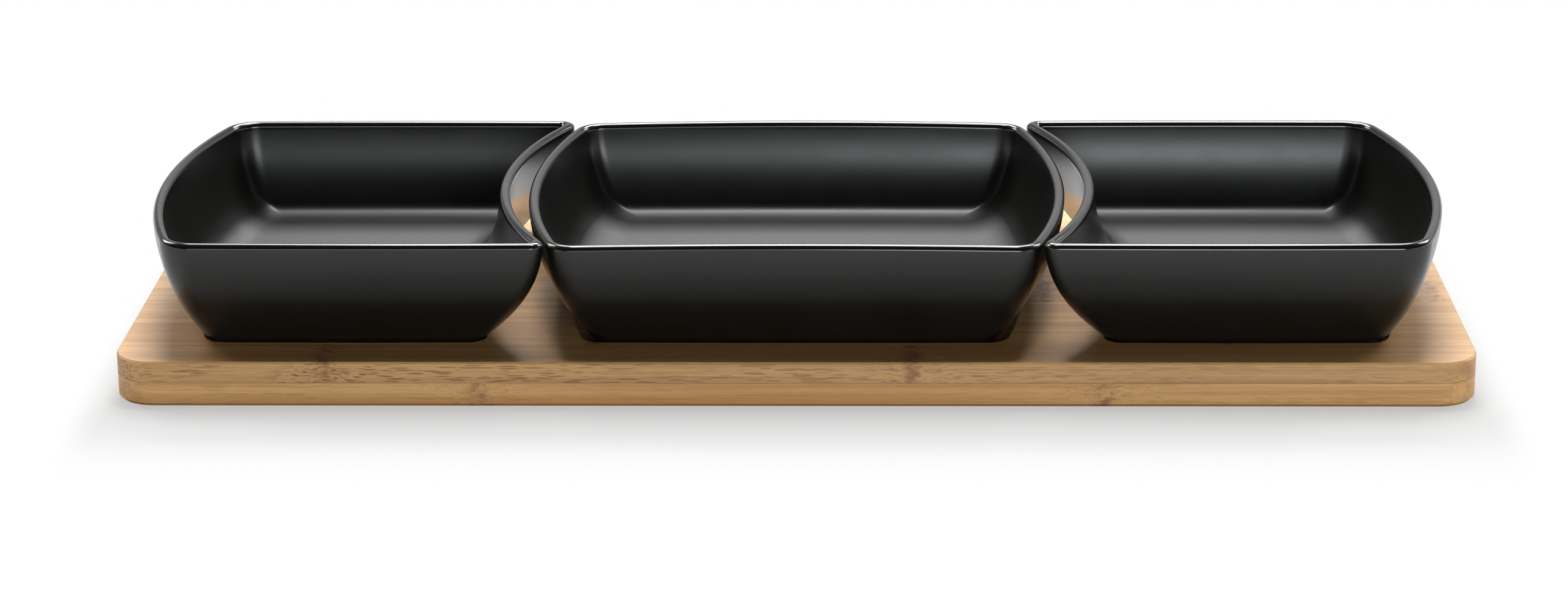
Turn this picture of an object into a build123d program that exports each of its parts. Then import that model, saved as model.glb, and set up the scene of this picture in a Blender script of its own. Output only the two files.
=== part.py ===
# Chip and dip server: three nesting ceramic bowls standing in the pockets of a laminated bamboo board.
# Millimetres. X runs along the board, Y from front to back, Z up from the table at the board's middle.
import os
from math import cos, pi, sin

from build123d import *

# Bamboo board
board_length = 400.0
board_depth = 150.0
board_corner = 12.0
top_ply = 6.3
lower_ply = 7.4
top_easing = 0.5
bottom_easing = 1.0

# Strips that make up a ply: full strips between two that were ripped to width at the edges
full_strips = 6
front_rip = 16.0
back_rip = 12.0

# Pockets routed in the top ply
pocket_depth = 3.2
pocket_gap = 0.8
centre_end_gap = 3.5

# Bowl walls
rim_height = 33.7
rim_thickness = 3.4
floor_thickness = 8.5
floor_fillet = 3.0
foot_width = 6.0
foot_recess = 2.8
wall_curve = 2.0
corner_taper = 0.7
tightest_corner = 0.6

# Sections that each band of a bowl is lofted through
outer_section_count = 7
inner_section_count = 4
floor_section_count = 3
lip_section_count = 3
section_crowding = 0.6

# Where the rims stand on the board
end_margin = 4.2
front_margin = 6.6
nest_gap = 5.7

# Shared shape of the long walls
rim_bow = 0.6
base_bow = 0.3
front_flare = 14.5

# Centre bowl, with both ends bowed outward
centre_length = 164.0
centre_rim_bow = 11.2
centre_base_bow = 6.3
centre_flare = 19.2
centre_rim_corner = 9.0
centre_base_corner = 6.0

# Side bowls, with the outer end bowed outward and the inner end hollowed round the centre bowl
outer_rim_bow = 12.2
outer_base_bow = 6.5
outer_flare = 17.3
inner_rim_hollow = 16.9
inner_base_hollow = 9.0
inner_flare = 15.3
outer_rim_corner = 11.0
outer_base_corner = 6.0
tip_rim_corner = 3.9
tip_base_corner = 6.0

board_thickness = lower_ply + top_ply
foot_level = board_thickness - pocket_depth
rim_level = board_thickness + rim_height
floor_level = foot_level + floor_thickness
rim_half_depth = board_depth / 2 - front_margin - rim_bow
base_half_depth = rim_half_depth + rim_bow - front_flare - base_bow
centre_apex = centre_length / 2
outer_apex = board_length / 2 - end_margin
inner_apex = centre_apex + nest_gap

# An outline has a right end, a left end, a half depth at its corners, the bows of its ends and long walls,
# and the rounding of its right and left corners.
centre_rim = dict(
    right=centre_apex - centre_rim_bow,
    left=centre_rim_bow - centre_apex,
    half_depth=rim_half_depth,
    right_bow=centre_rim_bow,
    left_bow=-centre_rim_bow,
    long_bow=rim_bow,
    right_corner=centre_rim_corner,
    left_corner=centre_rim_corner,
)
centre_base = dict(
    right=centre_apex - centre_flare - centre_base_bow,
    left=centre_base_bow + centre_flare - centre_apex,
    half_depth=base_half_depth,
    right_bow=centre_base_bow,
    left_bow=-centre_base_bow,
    long_bow=base_bow,
    right_corner=centre_base_corner,
    left_corner=centre_base_corner,
)
side_rim = dict(
    right=outer_apex - outer_rim_bow,
    left=inner_apex - inner_rim_hollow,
    half_depth=rim_half_depth,
    right_bow=outer_rim_bow,
    left_bow=inner_rim_hollow,
    long_bow=rim_bow,
    right_corner=outer_rim_corner,
    left_corner=tip_rim_corner,
)
side_base = dict(
    right=outer_apex - outer_flare - outer_base_bow,
    left=inner_apex + inner_flare - inner_base_hollow,
    half_depth=base_half_depth,
    right_bow=outer_base_bow,
    left_bow=inner_base_hollow,
    long_bow=base_bow,
    right_corner=outer_base_corner,
    left_corner=tip_base_corner,
)


def mirrored(shape):
    return dict(
        right=-shape["left"],
        left=-shape["right"],
        half_depth=shape["half_depth"],
        right_bow=-shape["left_bow"],
        left_bow=-shape["right_bow"],
        long_bow=shape["long_bow"],
        right_corner=shape["left_corner"],
        left_corner=shape["right_corner"],
    )


def outline_at(base, rim, level):
    # The wall swells quickly off the foot and stands almost upright at the rim
    rise = (level - foot_level) / (rim_level - foot_level)
    swell = 1 - (1 - rise) ** wall_curve
    return {name: base[name] + (rim[name] - base[name]) * swell for name in base}


def widen(shape, end_gap, side_gap):
    right = shape["right"] + end_gap
    left = shape["left"] - end_gap
    return dict(shape, right=right, left=left, half_depth=shape["half_depth"] + side_gap)


def draw_outline(shape, level, inset=0.0):
    right = shape["right"]
    left = shape["left"]
    depth = shape["half_depth"]
    middle = (right + left) / 2
    bulge = depth + shape["long_bow"]
    with BuildSketch(Plane.XY.offset(level)) as section:
        with BuildLine():
            ThreePointArc((right, -depth), (right + shape["right_bow"], 0), (right, depth))
            ThreePointArc((right, depth), (middle, bulge), (left, depth))
            ThreePointArc((left, depth), (left + shape["left_bow"], 0), (left, -depth))
            ThreePointArc((left, -depth), (middle, -bulge), (right, -depth))
        make_face()
        if inset:
            offset(amount=-inset, kind=Kind.INTERSECTION)
        # Corners tighten towards the inside of the wall, but less than the wall is thick
        right_corner = max(shape["right_corner"] - corner_taper * inset, tightest_corner)
        left_corner = max(shape["left_corner"] - corner_taper * inset, tightest_corner)
        fillet(section.vertices().sort_by(Axis.X)[-2:], right_corner)
        fillet(section.vertices().sort_by(Axis.X)[:2], left_corner)
    return section.sketch


def spread(first, last, count):
    return [first + (last - first) * step / (count - 1) for step in range(count)]


def wall_levels(first, last, count):
    # Levels that stand closer together near the foot, where the wall turns most
    return [last - (last - first) * share ** section_crowding for share in spread(1, 0, count)]


def quarter_round(radius, count):
    # Inset and rise of a quarter round that starts upright and ends level
    turns = spread(0, pi / 2, count)
    return [(radius * (1 - cos(turn)), radius * sin(turn)) for turn in turns]


def stack_bands(base, rim, bands):
    # A band is a row of levels with their insets, and stands on the last section of the band below
    drawn = [[draw_outline(outline_at(base, rim, z), z, inset) for z, inset in band] for band in bands]
    with BuildPart() as stack:
        for sections in drawn:
            loft(sections=sections, ruled=True)
    return stack.part


def make_bowl(base, rim):
    lip_radius = rim_thickness / 2
    shoulder = rim_level - lip_radius
    wall_floor = floor_level + floor_fillet
    lip_round = quarter_round(lip_radius, lip_section_count)
    floor_round = quarter_round(floor_fillet, floor_section_count)

    outer_wall = [(z, 0) for z in wall_levels(foot_level, shoulder, outer_section_count)]
    outer_lip = [(shoulder + rise, inset) for inset, rise in lip_round]

    floor_band = [(wall_floor - rise, rim_thickness + inset) for inset, rise in reversed(floor_round)]
    inner_wall = [(z, rim_thickness) for z in wall_levels(wall_floor, shoulder, inner_section_count)]
    inner_lip = [(shoulder + rise, rim_thickness - inset) for inset, rise in lip_round]

    with BuildPart() as bowl:
        add(stack_bands(base, rim, [outer_wall, outer_lip]))
        add(stack_bands(base, rim, [floor_band, inner_wall, inner_lip]), mode=Mode.SUBTRACT)
        extrude(draw_outline(base, foot_level, foot_width), foot_recess, mode=Mode.SUBTRACT)
    return bowl.part


def save(piece, name):
    piece.label = name
    export_step(piece, f"parts/{name}.step")


os.makedirs("parts", exist_ok=True)

# Bowls
save(make_bowl(mirrored(side_base), mirrored(side_rim)), "left_bowl")
save(make_bowl(centre_base, centre_rim), "centre_bowl")
save(make_bowl(side_base, side_rim), "right_bowl")

# Laminated blank, shaped and routed as one board before it is parted into its strips
centre_mouth = outline_at(centre_base, centre_rim, board_thickness)
side_mouth = outline_at(side_base, side_rim, board_thickness)
centre_pocket = draw_outline(widen(centre_mouth, centre_end_gap, pocket_gap), foot_level)
right_pocket = draw_outline(widen(side_mouth, pocket_gap, pocket_gap), foot_level)
left_pocket = draw_outline(mirrored(widen(side_mouth, pocket_gap, pocket_gap)), foot_level)
with BuildPart() as board:
    with BuildSketch():
        RectangleRounded(board_length, board_depth, board_corner)
    extrude(amount=board_thickness)
    chamfer(board.faces().sort_by(Axis.Z)[-1].edges(), top_easing)
    chamfer(board.faces().sort_by(Axis.Z)[0].edges(), bottom_easing)
    extrude(centre_pocket, pocket_depth, mode=Mode.SUBTRACT)
    extrude(right_pocket, pocket_depth, mode=Mode.SUBTRACT)
    extrude(left_pocket, pocket_depth, mode=Mode.SUBTRACT)


def part_ply(name, bottom, thickness, front_width, back_width):
    full_width = (board_depth - front_width - back_width) / full_strips
    widths = [front_width] + [full_width] * full_strips + [back_width]
    front = -board_depth / 2
    for number, width in enumerate(widths, start=1):
        with BuildPart() as strip:
            add(board.part)
            with Locations((0, front + width / 2, bottom + thickness / 2)):
                Box(board_length, width, thickness, mode=Mode.INTERSECT)
        save(strip.part, f"{name}_{number}")
        front += width


# The lower ply is the same lamination turned end for end, so that its seams are staggered
part_ply("lower_strip", 0, lower_ply, back_rip, front_rip)
part_ply("top_strip", lower_ply, top_ply, front_rip, back_rip)
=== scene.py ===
import math

import bmesh
import bpy
from mathutils import Matrix, Vector


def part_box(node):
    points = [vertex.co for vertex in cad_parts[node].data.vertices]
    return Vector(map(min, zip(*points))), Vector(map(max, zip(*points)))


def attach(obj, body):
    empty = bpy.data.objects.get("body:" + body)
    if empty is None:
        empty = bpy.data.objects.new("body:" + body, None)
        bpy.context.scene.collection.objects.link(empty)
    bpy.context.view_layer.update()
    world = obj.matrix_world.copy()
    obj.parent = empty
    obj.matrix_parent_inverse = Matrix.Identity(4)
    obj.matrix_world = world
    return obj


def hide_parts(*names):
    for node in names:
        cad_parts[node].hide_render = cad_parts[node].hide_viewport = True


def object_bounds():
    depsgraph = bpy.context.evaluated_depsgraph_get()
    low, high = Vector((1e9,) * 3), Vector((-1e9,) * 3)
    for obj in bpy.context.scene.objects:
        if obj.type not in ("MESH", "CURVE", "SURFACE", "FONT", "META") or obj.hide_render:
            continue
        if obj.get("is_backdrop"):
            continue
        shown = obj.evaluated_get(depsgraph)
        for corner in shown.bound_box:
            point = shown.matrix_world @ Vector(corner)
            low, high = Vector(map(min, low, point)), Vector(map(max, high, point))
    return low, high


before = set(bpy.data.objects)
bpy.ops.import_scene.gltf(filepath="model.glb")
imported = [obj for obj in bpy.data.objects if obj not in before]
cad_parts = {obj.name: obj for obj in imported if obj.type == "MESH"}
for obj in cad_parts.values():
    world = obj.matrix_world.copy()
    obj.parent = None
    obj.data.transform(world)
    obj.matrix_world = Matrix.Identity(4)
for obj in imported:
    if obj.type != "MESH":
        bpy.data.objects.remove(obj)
cadLow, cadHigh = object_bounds()
print("frame loaded:", len(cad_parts), "nodes")

mm = 1000  # millimetres in a metre


# node helpers: a value goes on the socket, a socket is linked to it

def nodeMaker(tree):
    def make(kind, values=None, **settings):
        node = tree.nodes.new(kind)
        for name, value in settings.items():
            setattr(node, name, value)
        for key, value in (values or {}).items():
            if isinstance(value, bpy.types.NodeSocket):
                tree.links.new(value, node.inputs[key])
            else:
                node.inputs[key].default_value = value
        return node
    return make


def sumMaker(make):
    def reckon(operation, first, second=0.0, third=0.0):
        return make("ShaderNodeMath", {0: first, 1: second, 2: third}, operation=operation).outputs[0]
    return reckon


def vectorMaker(make):
    def blend(operation, first, second=(0, 0, 0)):
        key = "Scale" if operation == "SCALE" else 1
        result = "Value" if operation == "LENGTH" else "Vector"
        return make("ShaderNodeVectorMath", {0: first, key: second}, operation=operation).outputs[result]
    return blend


def rampMaker(make):
    def ramp(value, start, end, first=0.0, last=1.0):
        return make("ShaderNodeMapRange", {
            "Value": value, "From Min": start, "From Max": end, "To Min": first, "To Max": last,
        }, interpolation_type="SMOOTHSTEP").outputs[0]
    return ramp


def axes(make, vector):
    return make("ShaderNodeSeparateXYZ", {0: vector}).outputs


def emptyMaterial(name):
    material = bpy.data.materials.new(name)
    material.use_nodes = True
    material.node_tree.nodes.clear()
    return material, nodeMaker(material.node_tree)


# black glaze of the bowls

glaze = {
    "deep": (0.0035, 0.0034, 0.0030, 1),
    "thin": (0.0075, 0.0073, 0.0066, 1),  # where it lies a little thinner
    "clouds": 45,  # per metre
    "cloudLevels": (0.3, 0.7),
    "roughLow": 0.28,
    "roughHigh": 0.33,
    "roughFloor": 0.52,  # settled glaze on the inner floor is more matte
    "floorHeight": 0.0225,
    "floorFacing": (0.75, 0.98),
    "pores": 2600,  # fine tooth of a matte glaze, per metre
    "toothHeight": 0.00001,
    "toothStrength": 0.25,
    "lipHeight": (0.0446, 0.0456),  # the glaze runs thin and glassy over the lip
    "lipRough": 0.16,
    "endFacing": (0.5, 0.8),
    "endRough": 0.24,
}


def glazeMaterial(look):
    material, make = emptyMaterial("blackGlaze")
    reckon, ramp = sumMaker(make), rampMaker(make)
    place = make("ShaderNodeTexCoord").outputs["Object"]
    height = axes(make, place)[2]
    facing = axes(make, make("ShaderNodeNewGeometry").outputs["Normal"])
    cloud = make("ShaderNodeTexNoise", {
        "Vector": place, "Scale": look["clouds"], "Detail": 3, "Roughness": 0.6,
    }).outputs["Fac"]
    colour = make("ShaderNodeMix", {0: cloud, 6: look["deep"], 7: look["thin"]}, data_type="RGBA").outputs[2]
    calm, busy = look["cloudLevels"]
    rough = make("ShaderNodeMapRange", {
        "Value": cloud, "From Min": calm, "From Max": busy, "To Min": look["roughLow"], "To Max": look["roughHigh"],
    }).outputs[0]
    # inner floor, then the end walls, then the lip
    low = reckon("LESS_THAN", height, look["floorHeight"])
    floor = reckon("MULTIPLY", low, ramp(facing[2], *look["floorFacing"]))
    ends = ramp(reckon("ABSOLUTE", facing[0]), *look["endFacing"])
    lip = ramp(height, *look["lipHeight"])
    for share, goal in ((floor, "roughFloor"), (ends, "endRough"), (lip, "lipRough")):
        rough = make("ShaderNodeMix", {0: share, 2: rough, 3: look[goal]}, data_type="FLOAT").outputs[0]
    tooth = make("ShaderNodeTexNoise", {"Vector": place, "Scale": look["pores"], "Detail": 2}).outputs["Fac"]
    bump = make("ShaderNodeBump", {
        "Height": tooth, "Strength": look["toothStrength"], "Distance": look["toothHeight"],
    }).outputs[0]
    shader = make("ShaderNodeBsdfPrincipled", {"Base Color": colour, "Roughness": rough, "Normal": bump})
    make("ShaderNodeOutputMaterial", {"Surface": shader.outputs[0]})
    return material


blackGlaze = glazeMaterial(glaze)
print("glaze mixed")


# bowls: one rule for all three, a foot ring that swells to a rim ring (millimetres)

bowlWall = {
    "footLevel": 10.5,
    "floorLevel": 19.0,
    "rimLevel": 47.4,
    "thickness": 3.4,
    "lipRadius": 1.7,
    "floorRound": 3.6,
    "footEdge": 0.3,
    "footWidth": 6.0,
    "footRecess": 2.8,
    "footFlat": 0.3,
    "recessCrease": (0.3, 0.1),  # inward and down from the inner corner of the recess
    "recessBreak": (0.2, 0.1),  # outward and up from its lower edge
    "swell": 2.0,
    "cornerTaper": 0.7,
    "floorRings": (0.08, 0.3, 0.6, 1),  # shares of the way to the middle
    "endSweep": 0.085,  # how far the floor's rounding reaches in from the ends, as a share of the length
    "endLift": 4.0,  # how much higher the floor's rounding starts on a bowed end
    "wallSteps": 26,
    "roundSteps": 9,
    "sidePoints": 48,
    "cornerPoints": 20,
    "weld": 0.001,
}

centreBowl = {
    "rim": {"right": 70.8, "left": -70.8, "depth": 67.8, "rightBow": 11.2, "leftBow": -11.2, "longBow": 0.6,
            "rightCorner": 9.0, "leftCorner": 9.0},
    "foot": {"right": 56.5, "left": -56.5, "depth": 53.6, "rightBow": 6.3, "leftBow": -6.3, "longBow": 0.3,
             "rightCorner": 6.0, "leftCorner": 6.0},
    "endLifts": (1.0, 1.0),  # right and left
    "middle": 0.0,
    "crown": 0.8,  # its rim dips a little towards the ends
}

rightBowl = {
    "rim": {"right": 183.6, "left": 70.8, "depth": 67.8, "rightBow": 12.2, "leftBow": 16.9, "longBow": 0.6,
            "rightCorner": 11.0, "leftCorner": 3.9},
    "foot": {"right": 172.0, "left": 94.0, "depth": 53.6, "rightBow": 6.5, "leftBow": 9.0, "longBow": 0.3,
             "rightCorner": 6.0, "leftCorner": 6.0},
    "endLifts": (1.0, 0.35),
    "middle": 138.0,
    "crown": 0.0,
}


def turnedOutline(outline):
    return {
        "right": -outline["left"], "left": -outline["right"], "depth": outline["depth"],
        "rightBow": -outline["leftBow"], "leftBow": -outline["rightBow"], "longBow": outline["longBow"],
        "rightCorner": outline["leftCorner"], "leftCorner": outline["rightCorner"],
    }


leftBowl = {
    "rim": turnedOutline(rightBowl["rim"]),
    "foot": turnedOutline(rightBowl["foot"]),
    "endLifts": rightBowl["endLifts"][::-1],
    "middle": -rightBowl["middle"],
    "crown": 0.0,
}


def sideCircle(middle, half, bow, outward, inset):
    # circle through a wall's ends and its bow; hollow walls have their centre outside the bowl
    radius = (half * half + bow * bow) / (2 * abs(bow))
    if bow > 0:
        return Vector(middle) + Vector(outward) * (bow - radius), radius - inset, 1
    return Vector(middle) + Vector(outward) * (bow + radius), radius + inset, -1


def cornerCentre(first, second, rounding, near):
    # centre of the round that touches two walls
    (a, ra, signA), (b, rb, signB) = first, second
    ra, rb = ra - signA * rounding, rb - signB * rounding
    gap = b - a
    along = (ra * ra - rb * rb + gap.length_squared) / (2 * gap.length)
    across = math.sqrt(max(ra * ra - along * along, 0))
    line = gap.normalized()
    found = [a + line * along + Vector((-line.y, line.x)) * across * side for side in (1, -1)]
    return min(found, key=lambda spot: (spot - near).length)


def arcPoints(centre, start, end, count):
    radius = (start - centre).length
    first = math.atan2(start.y - centre.y, start.x - centre.x)
    turn = math.atan2(end.y - centre.y, end.x - centre.x) - first
    turn = (turn + math.pi) % (2 * math.pi) - math.pi
    angles = [first + turn * i / count for i in range(count)]
    return [centre + radius * Vector((math.cos(angle), math.sin(angle))) for angle in angles]


def outlineRing(outline, inset, wall):
    right, left, depth = outline["right"], outline["left"], outline["depth"]
    middle, half = (right + left) / 2, (right - left) / 2
    walls = [
        sideCircle((right, 0), depth, outline["rightBow"], (1, 0), inset),
        sideCircle((middle, depth), half, outline["longBow"], (0, 1), inset),
        sideCircle((left, 0), depth, -outline["leftBow"], (-1, 0), inset),
        sideCircle((middle, -depth), half, outline["longBow"], (0, -1), inset),
    ]
    corners = [(right, depth, "rightCorner"), (left, depth, "leftCorner"),
               (left, -depth, "leftCorner"), (right, -depth, "rightCorner")]
    rounds, leave, meet = [], [], []
    for i, (x, y, name) in enumerate(corners):
        before, after = walls[i], walls[(i + 1) % 4]
        spot = cornerCentre(before, after, outline[name] - wall["cornerTaper"] * inset, Vector((x, y)))
        rounds.append(spot)
        leave.append(before[0] + (spot - before[0]).normalized() * before[1])
        meet.append(after[0] + (spot - after[0]).normalized() * after[1])
    ring = []
    for i in range(4):
        ring += arcPoints(walls[i][0], meet[i - 1], leave[i], wall["sidePoints"])
        ring += arcPoints(rounds[i], leave[i], meet[i], wall["cornerPoints"])
    return [(point.x / mm, point.y / mm, 0) for point in ring]


def ringLifts(bowl, wall):
    # full along an end, none along the long walls, eased round the corners
    right, left = (share * wall["endLift"] / mm for share in bowl["endLifts"])
    sides = (right, 0.0, left, 0.0)
    lifts = []
    for i, here in enumerate(sides):
        change = sides[(i + 1) % 4] - here
        lifts += [here] * wall["sidePoints"]
        for step in range(wall["cornerPoints"]):
            share = step / wall["cornerPoints"]
            lifts.append(here + change * share * share * (3 - 2 * share))
    return lifts


def profileStations(wall):
    # inset from the outer wall, share of the way to the middle, height, then the sweep and lift of the ends
    foot, floor, rim = wall["footLevel"], wall["floorLevel"], wall["rimLevel"]
    thick, lip, bend, edge = wall["thickness"], wall["lipRadius"], wall["floorRound"], wall["footEdge"]
    shoulder, wallFoot, wallFloor = rim - lip, foot + edge, floor + bend
    recess, ledge, sweep = foot + wall["footRecess"], wall["footWidth"], wall["endSweep"]
    steps, turns = wall["wallSteps"], wall["roundSteps"]
    creaseIn, creaseDown = wall["recessCrease"]
    breakOut, breakUp = wall["recessBreak"]
    quarter = [math.pi / 2 * i / turns for i in range(turns + 1)]
    # recess, foot ring and its rounded edge
    rows = [(ledge, 1, recess), (ledge, 0.5, recess)]
    rows += [(ledge + creaseIn, 0, recess), (ledge, 0, recess - creaseDown)]
    rows += [(ledge, 0, foot + breakUp), (ledge - breakOut, 0, foot), (edge + wall["footFlat"], 0, foot)]
    rows += [(edge * (1 - math.sin(a)), 0, foot + edge * (1 - math.cos(a))) for a in quarter[:-1:2]]
    # up the outside and over the lip
    rows += [(0, 0, wallFoot + (shoulder - wallFoot) * i / steps) for i in range(steps)]
    rows += [(lip * (1 - math.cos(a)), 0, shoulder + lip * math.sin(a)) for a in quarter[:-1]]
    rows += [(thick - lip * (1 - math.cos(a)), 0, shoulder + lip * math.sin(a)) for a in reversed(quarter)]
    rows = [(*row, 0, 0) for row in rows]
    # down the inside, round onto the floor and in to the middle
    rows += [(thick, 0, shoulder + (wallFloor - shoulder) * i / steps, 0, i / steps) for i in range(1, steps)]
    for a in quarter:
        inward, fall = 1 - math.cos(a), math.sin(a)
        rows.append((thick + bend * inward, 0, wallFloor - bend * fall, sweep * inward, 1 - fall))
    rows += [(thick + bend, share, floor, sweep, 0) for share in wall["floorRings"]]
    return [(inset / thick, toMiddle, height / mm, *ends) for inset, toMiddle, height, *ends in rows]


def bowlTree():
    tree = bpy.data.node_groups.new("bowlShell", "GeometryNodeTree")
    face = tree.interface
    face.new_socket(name="Geometry", in_out="OUTPUT", socket_type="NodeSocketGeometry")
    face.new_socket(name="Rings", in_out="INPUT", socket_type="NodeSocketGeometry")
    face.new_socket(name="Profile", in_out="INPUT", socket_type="NodeSocketObject")
    for name in ("Foot Level", "Rim Level", "Swell", "Crown", "Half Length", "Middle", "Weld"):
        face.new_socket(name=name, in_out="INPUT", socket_type="NodeSocketFloat")
    face.new_socket(name="Glaze", in_out="INPUT", socket_type="NodeSocketMaterial")
    make = nodeMaker(tree)
    reckon = sumMaker(make)
    given = make("NodeGroupInput").outputs
    profile = make("GeometryNodeObjectInfo", {"Object": given["Profile"]}).outputs["Geometry"]
    columns = make("GeometryNodeAttributeDomainSize", {0: given["Rings"]}).outputs["Point Count"]
    rows = make("GeometryNodeAttributeDomainSize", {0: profile}).outputs["Point Count"]
    index = make("GeometryNodeInputIndex").outputs[0]
    grid = make("GeometryNodeMeshGrid", {"Vertices X": reckon("ADD", columns, 1), "Vertices Y": rows})

    def count(operation, first, second):
        return make("FunctionNodeIntegerMath", {0: first, 1: second}, operation=operation).outputs[0]

    def sample(source, layer, point, kind):
        return make("GeometryNodeSampleIndex", {0: source, 1: layer, 2: point},
                    data_type=kind, domain="POINT").outputs[0]

    def named(name, source, point, kind):
        layer = make("GeometryNodeInputNamedAttribute", {"Name": name}, data_type=kind).outputs[0]
        return sample(source, layer, point, kind)

    def between(share, first, second):
        return make("ShaderNodeMix", {0: share, 4: first, 5: second},
                    data_type="VECTOR", clamp_factor=False).outputs[1]

    # columns of the grid go round the rings, and rows follow the profile
    column = count("MODULO", count("DIVIDE_FLOOR", index, rows), columns)
    row = count("MODULO", index, rows)
    footOuter, footInner, rimOuter, rimInner = (
        named(name, given["Rings"], column, "FLOAT_VECTOR")
        for name in ("footOuter", "footInner", "rimOuter", "rimInner"))
    station = sample(profile, make("GeometryNodeInputPosition").outputs[0], row, "FLOAT_VECTOR")
    share, toMiddle, height = axes(make, station)
    sweep, lift = (named(name, profile, row, "FLOAT") for name in ("sweep", "lift"))
    height = reckon("MULTIPLY_ADD", lift, named("endLift", given["Rings"], column, "FLOAT"), height)

    # the wall swells from the foot rings to the rim rings
    rise = reckon("DIVIDE", reckon("SUBTRACT", height, given["Foot Level"]),
                  reckon("SUBTRACT", given["Rim Level"], given["Foot Level"]))
    left = reckon("MAXIMUM", reckon("SUBTRACT", 1.0, rise), 0.0)
    swell = reckon("SUBTRACT", 1.0, reckon("POWER", left, given["Swell"]))
    spot = between(share, between(swell, footOuter, rimOuter), between(swell, footInner, rimInner))
    spot = between(toMiddle, spot, make("ShaderNodeCombineXYZ", {0: given["Middle"]}).outputs[0])

    # the floor's ends are swept in, and the rim dips towards its ends
    x, y = axes(make, spot)[:2]
    x = reckon("MULTIPLY_ADD", reckon("SUBTRACT", given["Middle"], x), sweep, x)
    reach = reckon("DIVIDE", x, given["Half Length"])
    dip = reckon("MULTIPLY", reckon("MULTIPLY", reckon("MULTIPLY", reach, reach), given["Crown"]), rise)
    placed = make("ShaderNodeCombineXYZ", {0: x, 1: y, 2: reckon("SUBTRACT", height, dip)})
    shell = make("GeometryNodeSetPosition", {0: grid.outputs["Mesh"], "Position": placed.outputs[0]})
    joined = make("GeometryNodeMergeByDistance", {0: shell.outputs[0], "Distance": given["Weld"]})
    smooth = make("GeometryNodeSetShadeSmooth", {0: joined.outputs[0]})
    real = make("GeometryNodeRealizeInstances", {0: smooth.outputs[0]})
    dressed = make("GeometryNodeSetMaterial", {0: real.outputs[0], "Material": given["Glaze"]})
    make("NodeGroupOutput", {0: dressed.outputs[0]})
    return tree


def meshOfPoints(name, points):
    mesh = bpy.data.meshes.new(name)
    mesh.from_pydata(points, [], [])
    piece = bpy.data.objects.new(name, mesh)
    bpy.context.scene.collection.objects.link(piece)
    return piece


def makeBowl(name, bowl, wall, tree, profile):
    rings = meshOfPoints(name + "Rings", outlineRing(bowl["rim"], 0, wall))
    for ring, outline, inset in (("rimOuter", "rim", 0), ("rimInner", "rim", wall["thickness"]),
                                 ("footOuter", "foot", 0), ("footInner", "foot", wall["thickness"])):
        layer = rings.data.attributes.new(ring, "FLOAT_VECTOR", "POINT")
        layer.data.foreach_set("vector", [v for p in outlineRing(bowl[outline], inset, wall) for v in p])
    rings.data.attributes.new("endLift", "FLOAT", "POINT").data.foreach_set("value", ringLifts(bowl, wall))
    grow = rings.modifiers.new("grow", "NODES")
    grow.node_group = tree
    values = {
        "Profile": profile, "Foot Level": wall["footLevel"] / mm, "Rim Level": wall["rimLevel"] / mm,
        "Swell": wall["swell"], "Crown": bowl["crown"] / mm, "Half Length": bowl["rim"]["right"] / mm,
        "Middle": bowl["middle"] / mm, "Weld": wall["weld"] / mm, "Glaze": blackGlaze,
    }
    for socket in tree.interface.items_tree:
        if socket.in_out == "INPUT" and socket.name in values:
            grow[socket.identifier] = values[socket.name]
    graph = bpy.context.evaluated_depsgraph_get()
    mesh = bpy.data.meshes.new_from_object(rings.evaluated_get(graph), depsgraph=graph)
    bpy.data.objects.remove(rings)
    shape = bmesh.new()
    shape.from_mesh(mesh)
    bmesh.ops.recalc_face_normals(shape, faces=shape.faces)
    shape.to_mesh(mesh)
    shape.free()
    piece = bpy.data.objects.new(name, mesh)
    bpy.context.scene.collection.objects.link(piece)
    return piece


bowlGrower = bowlTree()
bowlStations = profileStations(bowlWall)
bowlProfile = meshOfPoints("bowlProfile", [station[:3] for station in bowlStations])
for number, name in ((3, "sweep"), (4, "lift")):
    layer = bowlProfile.data.attributes.new(name, "FLOAT", "POINT")
    layer.data.foreach_set("value", [station[number] for station in bowlStations])
for node, bowl in (("left_bowl", leftBowl), ("centre_bowl", centreBowl), ("right_bowl", rightBowl)):
    shell = makeBowl(node + "_shell", bowl, bowlWall, bowlGrower, bowlProfile)
    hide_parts(node)
    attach(shell, node)
    print("bowl:", shell.name, len(shell.data.polygons), "faces")
bpy.data.objects.remove(bowlProfile)


# bamboo of the board, one material for each strip

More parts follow.
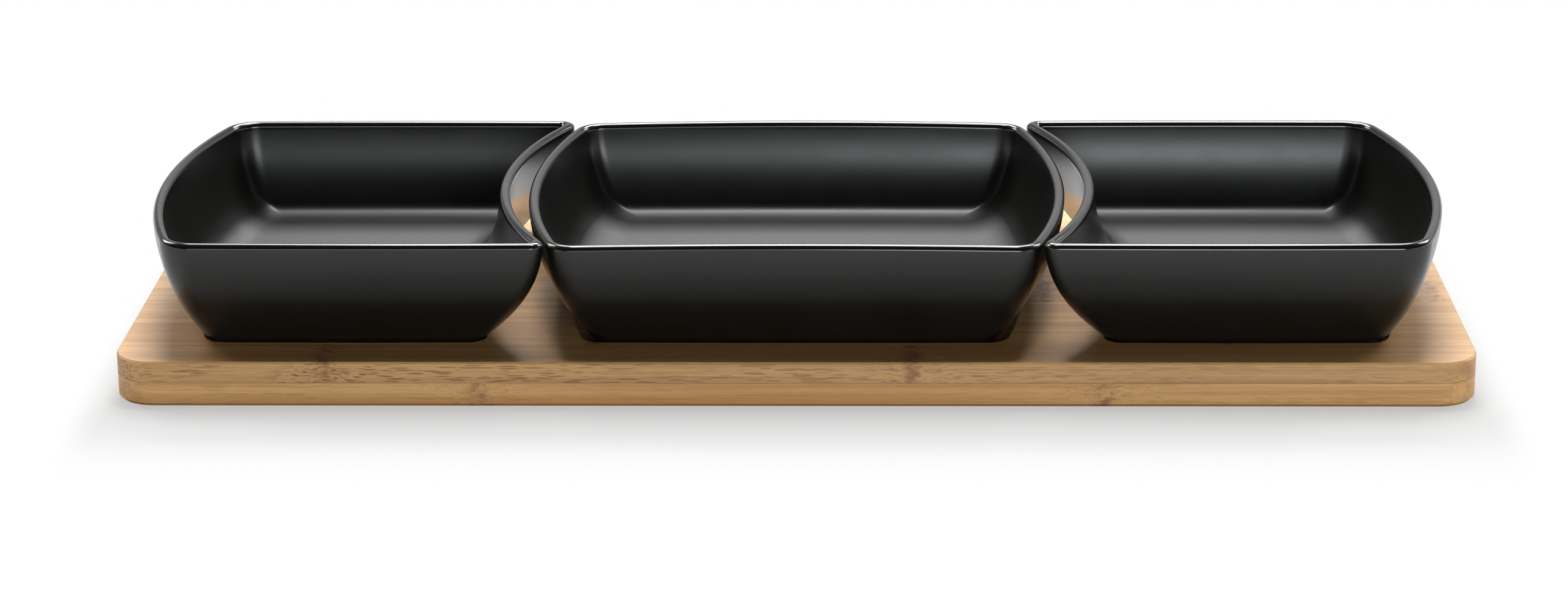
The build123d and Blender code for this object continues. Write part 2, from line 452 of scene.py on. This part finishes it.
bamboo = {
    "pale": (0.59, 0.335, 0.120),
    "honey": (0.455, 0.230, 0.071),
    "streak": (0.33, 0.148, 0.037),
    "dash": (0.27, 0.096, 0.018),
    "knot": (0.21, 0.080, 0.024),
    "seam": (0.16, 0.075, 0.028),
    "swerveGrain": (0.16, 0.45, 0.45),  # marks per millimetre along, across and down a strip
    "bandGrain": (0.004, 0.22, 0.22),
    "fibreGrain": (0.012, 1.6, 1.6),
    "hairGrain": (0.035, 5.5, 5.5),
    "bundleGrain": (0.12, 1.45, 1.45),
    "patchGrain": (0.02, 0.16, 0.16),
    "cloudGrain": (0.3, 0.35, 0.35),
    "bandLevels": (0.34, 0.66),  # levels of the grain between which a mark comes in
    "fibreLevels": (0.48, 0.76),
    "hairLevels": (0.50, 0.70),
    "bundleLevels": (0.46, 0.30),
    "patchLevels": (0.36, 0.54),
    "knotLevels": (0.36, 0.62),
    "drawnLevels": (0.46, 0.62),
    "smudgeLevels": (0.42, 0.60),
    "roughLevels": (0.3, 0.7),
    "endFacing": (0.2, 0.7),
    "swerve": 0.5,  # millimetres
    "knotSwerve": 4.5,
    "knotWidth": 2.2,
    "smudgeWidth": 11.0,
    "seamWidth": 0.22,
    "edgeMargin": 1.0,  # no glue line along the outer edges of the board
    "dashSpan": 150.0,
    "fibreShare": 0.7,
    "hairShare": 0.4,
    "dashShare": 0.9,
    "faceDashes": 0.15,  # share of the dashes that shows on the broad faces
    "knotShare": (0.15, 0.80),
    "drawnShare": 0.58,
    "seamShare": 0.45,
    "jointShare": 0.55,
    "grainHeight": 0.00012,  # metres
    "grainStrength": 0.35,
    "hairRelief": 0.5,  # against the fibres
    "dashRelief": -0.4,
    "shine": 0.75,
    "roughLow": 0.42,
    "roughHigh": 0.52,
}

# seed, tone, dashes at the left end and at the right end, knots along the strip
topLooks = [
    {"seed": 3.1, "tone": 0.96, "dashes": (1.0, 0.35), "knots": (-137.5, 34.7)},
    {"seed": 11.7, "tone": 1.05, "dashes": (0.5, 0.5), "knots": (-60.0, 128.0)},
    {"seed": 17.3, "tone": 1.09, "dashes": (0.5, 0.5), "knots": (-166.0, 12.0)},
    {"seed": 23.9, "tone": 1.07, "dashes": (0.5, 0.5), "knots": (-108.0, 76.5, 195.0)},
    {"seed": 31.2, "tone": 0.96, "dashes": (0.5, 0.5), "knots": (-35.0, 152.0)},
    {"seed": 37.8, "tone": 1.04, "dashes": (0.5, 0.5), "knots": (-180.0, -5.0, 178.0)},
    {"seed": 43.4, "tone": 0.99, "dashes": (0.5, 0.5), "knots": (-82.0, 101.0)},
    {"seed": 51.6, "tone": 1.02, "dashes": (0.6, 0.7), "knots": (-128.0, 57.0)},
]
lowerLooks = [
    # painted light: the first lower strip's tone is raised well above the others to make up for the shade the floor
    # leaves on the lower front face
    {"seed": 61.3, "tone": 1.22, "dashes": (0.12, 0.2), "knots": (-92.6, 90.9)},
    {"seed": 67.9, "tone": 0.98, "dashes": (0.4, 0.4), "knots": (-150.0, 40.0)},
    {"seed": 73.2, "tone": 1.00, "dashes": (0.4, 0.4), "knots": (-20.0, 165.0)},
    {"seed": 79.5, "tone": 1.04, "dashes": (0.4, 0.4), "knots": (-110.0, 75.0)},
    {"seed": 83.1, "tone": 0.97, "dashes": (0.4, 0.4), "knots": (-64.0, 120.0)},
    {"seed": 89.7, "tone": 1.01, "dashes": (0.4, 0.4), "knots": (-172.0, 4.0)},
    {"seed": 97.4, "tone": 0.99, "dashes": (0.4, 0.4), "knots": (-45.0, 138.0)},
    {"seed": 103.8, "tone": 1.02, "dashes": (0.6, 0.5), "knots": (-118.0, 62.0)},
]


def bambooMaterial(name, look, low, high):
    material, make = emptyMaterial(name)
    reckon, blend, ramp = sumMaker(make), vectorMaker(make), rampMaker(make)
    place = blend("SCALE", make("ShaderNodeTexCoord").outputs["Object"], mm)
    x, y, z = axes(make, place)
    facing = axes(make, make("ShaderNodeNewGeometry").outputs["Normal"])
    flat = reckon("ABSOLUTE", facing[2])  # 1 on the broad faces, 0 on the edges
    seed = look["seed"]
    toned = {part: (*(channel * look["tone"] for channel in bamboo[part]), 1)
             for part in ("pale", "honey", "streak", "dash", "knot", "seam")}

    def texture(grain, shift, source, detail=3.0, roughness=0.55):
        spot = blend("ADD", blend("MULTIPLY", source, bamboo[grain]), (shift, shift * 1.7, shift * 0.6))
        return make("ShaderNodeTexNoise", {
            "Vector": spot, "Scale": 1.0, "Detail": detail, "Roughness": roughness,
        }).outputs

    def tint(share, first, second):
        return make("ShaderNodeMix", {0: share, 6: first, 7: toned[second]}, data_type="RGBA").outputs[2]

    def bells(width):
        tallest = 0.0
        for knotX in look["knots"]:
            away = reckon("DIVIDE", reckon("SUBTRACT", x, knotX), width)
            bell = reckon("EXPONENT", reckon("MULTIPLY", reckon("MULTIPLY", away, away), -1.0))
            tallest = reckon("MAXIMUM", bell, tallest)
        return tallest

    # fibres run along the strip and swerve round its knots
    knot, smudge = bells(bamboo["knotWidth"]), bells(bamboo["smudgeWidth"])
    swerve = blend("SUBTRACT", texture("swerveGrain", seed, place, detail=1.0)["Color"], (0.5, 0.5, 0.5))
    swerveBy = reckon("MULTIPLY_ADD", smudge, bamboo["knotSwerve"], bamboo["swerve"])
    grain = blend("ADD", place, blend("SCALE", swerve, swerveBy))
    bands = texture("bandGrain", seed + 9, grain, detail=2.0)["Fac"]
    fibres = texture("fibreGrain", seed + 5, grain, detail=4.0, roughness=0.62)["Fac"]
    hairs = texture("hairGrain", seed + 17, grain, detail=2.0)["Fac"]
    colour = tint(ramp(bands, *bamboo["bandLevels"]), toned["pale"], "honey")
    colour = tint(reckon("MULTIPLY", ramp(fibres, *bamboo["fibreLevels"]), bamboo["fibreShare"]), colour, "streak")
    colour = tint(reckon("MULTIPLY", ramp(hairs, *bamboo["hairLevels"]), bamboo["hairShare"]), colour, "streak")

    # vascular bundles: dashes along the edges, dots on the ends
    cell = blend("ADD", blend("MULTIPLY", grain, bamboo["bundleGrain"]), (seed, 0, seed))
    cell = make("ShaderNodeTexVoronoi", {"Vector": cell, "Scale": 1.0}).outputs["Distance"]
    strength = ramp(x, -bamboo["dashSpan"], bamboo["dashSpan"], *look["dashes"])
    patches = ramp(texture("patchGrain", seed + 2, place)["Fac"], *bamboo["patchLevels"])
    ends = ramp(reckon("ABSOLUTE", facing[0]), *bamboo["endFacing"])
    strength = reckon("MULTIPLY", strength, reckon("MAXIMUM", patches, reckon("MAXIMUM", smudge, ends)))
    strength = reckon("MULTIPLY", strength, reckon("MULTIPLY_ADD", flat, bamboo["faceDashes"] - 1.0, 1.0))
    dash = reckon("MULTIPLY", ramp(cell, *bamboo["bundleLevels"]), strength)
    colour = tint(reckon("MULTIPLY", dash, bamboo["dashShare"]), colour, "dash")

    # knots: a brown mark across the fibres, and streaks drawn out of it
    cloud = texture("cloudGrain", seed + 13, place, detail=2.0)["Fac"]
    broken = ramp(cloud, *bamboo["knotLevels"], *bamboo["knotShare"])
    colour = tint(reckon("MULTIPLY", knot, broken), colour, "knot")
    drawn = reckon("MULTIPLY", smudge, ramp(fibres, *bamboo["drawnLevels"]))
    broken = ramp(cloud, *bamboo["smudgeLevels"], 0.0, bamboo["drawnShare"])
    colour = tint(reckon("MULTIPLY", drawn, broken), colour, "knot")

    # glue lines where the strip meets its neighbours
    side = reckon("MINIMUM", reckon("SUBTRACT", y, low.y * mm), reckon("SUBTRACT", high.y * mm, y))
    onBoard = reckon("LESS_THAN", reckon("ABSOLUTE", y), cadHigh[1] * mm - bamboo["edgeMargin"])
    seam = reckon("MULTIPLY", ramp(side, bamboo["seamWidth"], 0.0, 0.0, bamboo["seamShare"]), onBoard)
    if low.z > cadLow[2] + 1 / mm:  # top ply
        joint = reckon("SUBTRACT", z, low.z * mm)
    else:
        joint = reckon("SUBTRACT", high.z * mm, z)
    upright = reckon("SUBTRACT", 1.0, flat)
    joint = reckon("MULTIPLY", ramp(joint, bamboo["seamWidth"], 0.0, 0.0, bamboo["jointShare"]), upright)
    colour = tint(reckon("MAXIMUM", seam, joint), colour, "seam")

    # hairs and fibres stand a little proud, dashes lie a little low
    rough = ramp(fibres, *bamboo["roughLevels"], bamboo["roughLow"], bamboo["roughHigh"])
    height = reckon("MULTIPLY_ADD", dash, bamboo["dashRelief"], fibres)
    height = reckon("MULTIPLY_ADD", hairs, bamboo["hairRelief"], height)
    bump = make("ShaderNodeBump", {
        "Height": height, "Strength": bamboo["grainStrength"], "Distance": bamboo["grainHeight"],
    }).outputs[0]
    shader = make("ShaderNodeBsdfPrincipled", {
        "Base Color": colour, "Roughness": rough, "Normal": bump, "Specular IOR Level": bamboo["shine"],
    })
    make("ShaderNodeOutputMaterial", {"Surface": shader.outputs[0]})
    return material


for ply, looks in (("top_strip", topLooks), ("lower_strip", lowerLooks)):
    for number, look in enumerate(looks, start=1):
        node = f"{ply}_{number}"
        low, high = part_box(node)
        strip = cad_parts[node]
        strip.data.materials.clear()
        strip.data.materials.append(bambooMaterial(node + "_bamboo", look, low, high))
print("bamboo on", len(topLooks) + len(lowerLooks), "strips")


# pale floor: plain white to the camera, with the part's shadow kept close round it

floorLook = {
    "size": 8.0,
    "colour": (0.38, 0.38, 0.375, 1),
    "shadowReach": 0.065,  # metres in front of the board where the floor turns plain white
    "sideReach": 0.2,  # share of that beside and behind it
    "shadowLift": 0.49,  # how much of that white lies in the shadow
    "mirrorReach": (0.03, 0.12),  # the same for what the glaze mirrors
}


def mirroredRays(reckon, path):
    return reckon("MAXIMUM", path["Is Glossy Ray"], path["Is Transmission Ray"])


def floorMaterial(look):
    material, make = emptyMaterial("paleFloor")
    reckon, blend, ramp = sumMaker(make), vectorMaker(make), rampMaker(make)
    x, y = axes(make, make("ShaderNodeTexCoord").outputs["Object"])[:2]
    beside = reckon("SUBTRACT", reckon("ABSOLUTE", x), cadHigh[0])
    ahead = reckon("SUBTRACT", cadLow[1], y)
    behind = reckon("SUBTRACT", y, cadHigh[1])
    away = make("ShaderNodeCombineXYZ", {0: beside, 1: ahead, 2: behind}).outputs[0]
    away = blend("MAXIMUM", away, (0, 0, 0))
    away = blend("LENGTH", blend("MULTIPLY", away, (1 / look["sideReach"], 1, 1 / look["sideReach"])))
    path = make("ShaderNodeLightPath").outputs
    seen = reckon("MULTIPLY", path["Is Camera Ray"], ramp(away, 0.0, look["shadowReach"], look["shadowLift"]))
    mirrored = reckon("MULTIPLY", mirroredRays(reckon, path), ramp(away, *look["mirrorReach"]))
    matt = make("ShaderNodeBsdfDiffuse", {"Color": look["colour"]}).outputs[0]
    white = make("ShaderNodeEmission", {"Color": (1, 1, 1, 1), "Strength": 1.0}).outputs[0]
    both = make("ShaderNodeMixShader", {0: reckon("MAXIMUM", seen, mirrored), 1: matt, 2: white})
    make("ShaderNodeOutputMaterial", {"Surface": both.outputs[0]})
    return material


def makeFloor(look):
    half = look["size"] / 2
    corners = [(-half, -half, 0), (half, -half, 0), (half, half, 0), (-half, half, 0)]
    mesh = bpy.data.meshes.new("floor")
    mesh.from_pydata(corners, [], [(0, 1, 2, 3)])
    mesh.materials.append(floorMaterial(look))
    floor = bpy.data.objects.new("floor", mesh)
    bpy.context.scene.collection.objects.link(floor)
    floor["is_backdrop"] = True


# studio round the part: dim in front, paler behind, bright along the horizon on both sides

sky = {
    "front": 0.02,
    "back": 0.35,
    "depthFade": 0.28,
    "left": 2.4,
    "right": 2.8,
    "sideFade": (0.50, 0.85),
    "sideRise": (0.06, 0.20),  # both sides fade over the horizon
    "top": 0.30,  # share of the front and back that is left overhead
    "topRise": (0.35, 0.75),
    "mirrorRise": 0.08,  # rise over the horizon up to which the glaze mirrors the white backdrop
}


def makeSky(look):
    world = bpy.data.worlds.new("studio")
    bpy.context.scene.world = world
    world.use_nodes = True
    world.node_tree.nodes.clear()
    make = nodeMaker(world.node_tree)
    reckon, ramp = sumMaker(make), rampMaker(make)
    way = axes(make, make("ShaderNodeTexCoord").outputs["Generated"])
    fadeStart, fadeEnd = look["sideFade"]
    depth = ramp(way[1], -look["depthFade"], look["depthFade"], look["front"], look["back"])
    depth = reckon("MULTIPLY", depth, ramp(way[2], *look["topRise"], 1.0, look["top"]))
    left = ramp(way[0], -fadeStart, -fadeEnd, 0.0, look["left"])
    right = ramp(way[0], fadeStart, fadeEnd, 0.0, look["right"])
    sides = reckon("MULTIPLY", reckon("MAXIMUM", left, right), ramp(way[2], *look["sideRise"], 1.0, 0.0))
    path = make("ShaderNodeLightPath").outputs
    mirrored = reckon("MULTIPLY", mirroredRays(reckon, path), ramp(way[2], 0.0, look["mirrorRise"], 1.0, 0.0))
    white = reckon("MAXIMUM", path["Is Camera Ray"], mirrored)
    level = reckon("MAXIMUM", reckon("MAXIMUM", depth, sides), white)
    shader = make("ShaderNodeBackground", {"Color": (1, 1, 1, 1), "Strength": level})
    make("ShaderNodeOutputWorld", {"Surface": shader.outputs[0]})


# lamps: a softbox behind and above, one at each end, low panels in front (metres)

lampAim = (0, 0, 0.03)
lamps = {
    "backLamp": {"place": (0.02, 1.05, 1.18), "size": (1.10, 0.42), "watts": 31.0, "colour": (1, 1, 1)},
    "topLamp": {"place": (0.02, 0.42, 1.50), "size": (0.70, 0.50), "watts": 23.0, "colour": (1, 1, 1)},
    "backWall": {"place": (0.45, 1.70, 0.60), "size": (2.6, 0.5), "watts": 2.0, "colour": (1, 1, 1)},
    "leftLamp": {"place": (-1.05, 0.80, 0.95), "size": (0.6, 0.6), "watts": 10.5, "colour": (1, 1, 1)},
    "rightLamp": {"place": (1.05, 0.80, 0.95), "size": (0.6, 0.6), "watts": 11.5, "colour": (1, 1, 1)},
    "frontPanel": {"place": (0.30, -1.15, 0.21), "size": (0.60, 0.27), "watts": 5.2, "colour": (0.94, 0.98, 1)},
    "frontFill": {"place": (-0.30, -1.15, 0.21), "size": (0.54, 0.25), "watts": 1.15, "colour": (0.94, 0.98, 1)},
}


def makeLamp(name, look):
    lamp = bpy.data.lights.new(name, "AREA")
    lamp.shape = "RECTANGLE"
    lamp.size, lamp.size_y = look["size"]
    lamp.energy = look["watts"]
    lamp.color = look["colour"]
    piece = bpy.data.objects.new(name, lamp)
    bpy.context.scene.collection.objects.link(piece)
    place = Vector(look["place"])
    turn = (Vector(lampAim) - place).to_track_quat("-Z", "Y")
    piece.matrix_world = Matrix.Translation(place) @ turn.to_matrix().to_4x4()


makeFloor(floorLook)
makeSky(sky)
for name, look in lamps.items():
    makeLamp(name, look)
print("floor, sky and", len(lamps), "lamps set")


# camera at the photograph's angle

cameraLook = {
    "place": (0.01972, -1.10136, 0.37213),
    "yaw": -1.246,  # degrees
    "pitch": 18.227,
    "roll": -0.367,
    "lens": 85.685,  # millimetres, on the sensor below
    "sensor": 36.0,
    "clip": (0.01, 50.0),  # metres
}


def makeCamera(look):
    yaw, pitch, roll = (math.radians(look[name]) for name in ("yaw", "pitch", "roll"))
    ahead = Vector((math.sin(yaw) * math.cos(pitch), math.cos(yaw) * math.cos(pitch), -math.sin(pitch)))
    side = Vector((math.cos(yaw), -math.sin(yaw), 0))
    up = side.cross(ahead)
    right = side * math.cos(roll) + up * math.sin(roll)
    top = up * math.cos(roll) - side * math.sin(roll)
    camera = bpy.data.cameras.new("camera")
    camera.lens = look["lens"]
    camera.sensor_width = look["sensor"]
    camera.sensor_fit = "HORIZONTAL"
    camera.clip_start, camera.clip_end = look["clip"]
    piece = bpy.data.objects.new("camera", camera)
    bpy.context.scene.collection.objects.link(piece)
    turn = Matrix((right, top, -ahead)).transposed().to_4x4()
    piece.matrix_world = Matrix.Translation(Vector(look["place"])) @ turn
    bpy.context.scene.camera = piece


makeCamera(cameraLook)
bpy.context.scene.view_settings.view_transform = "Standard"
print("camera placed")

low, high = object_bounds()
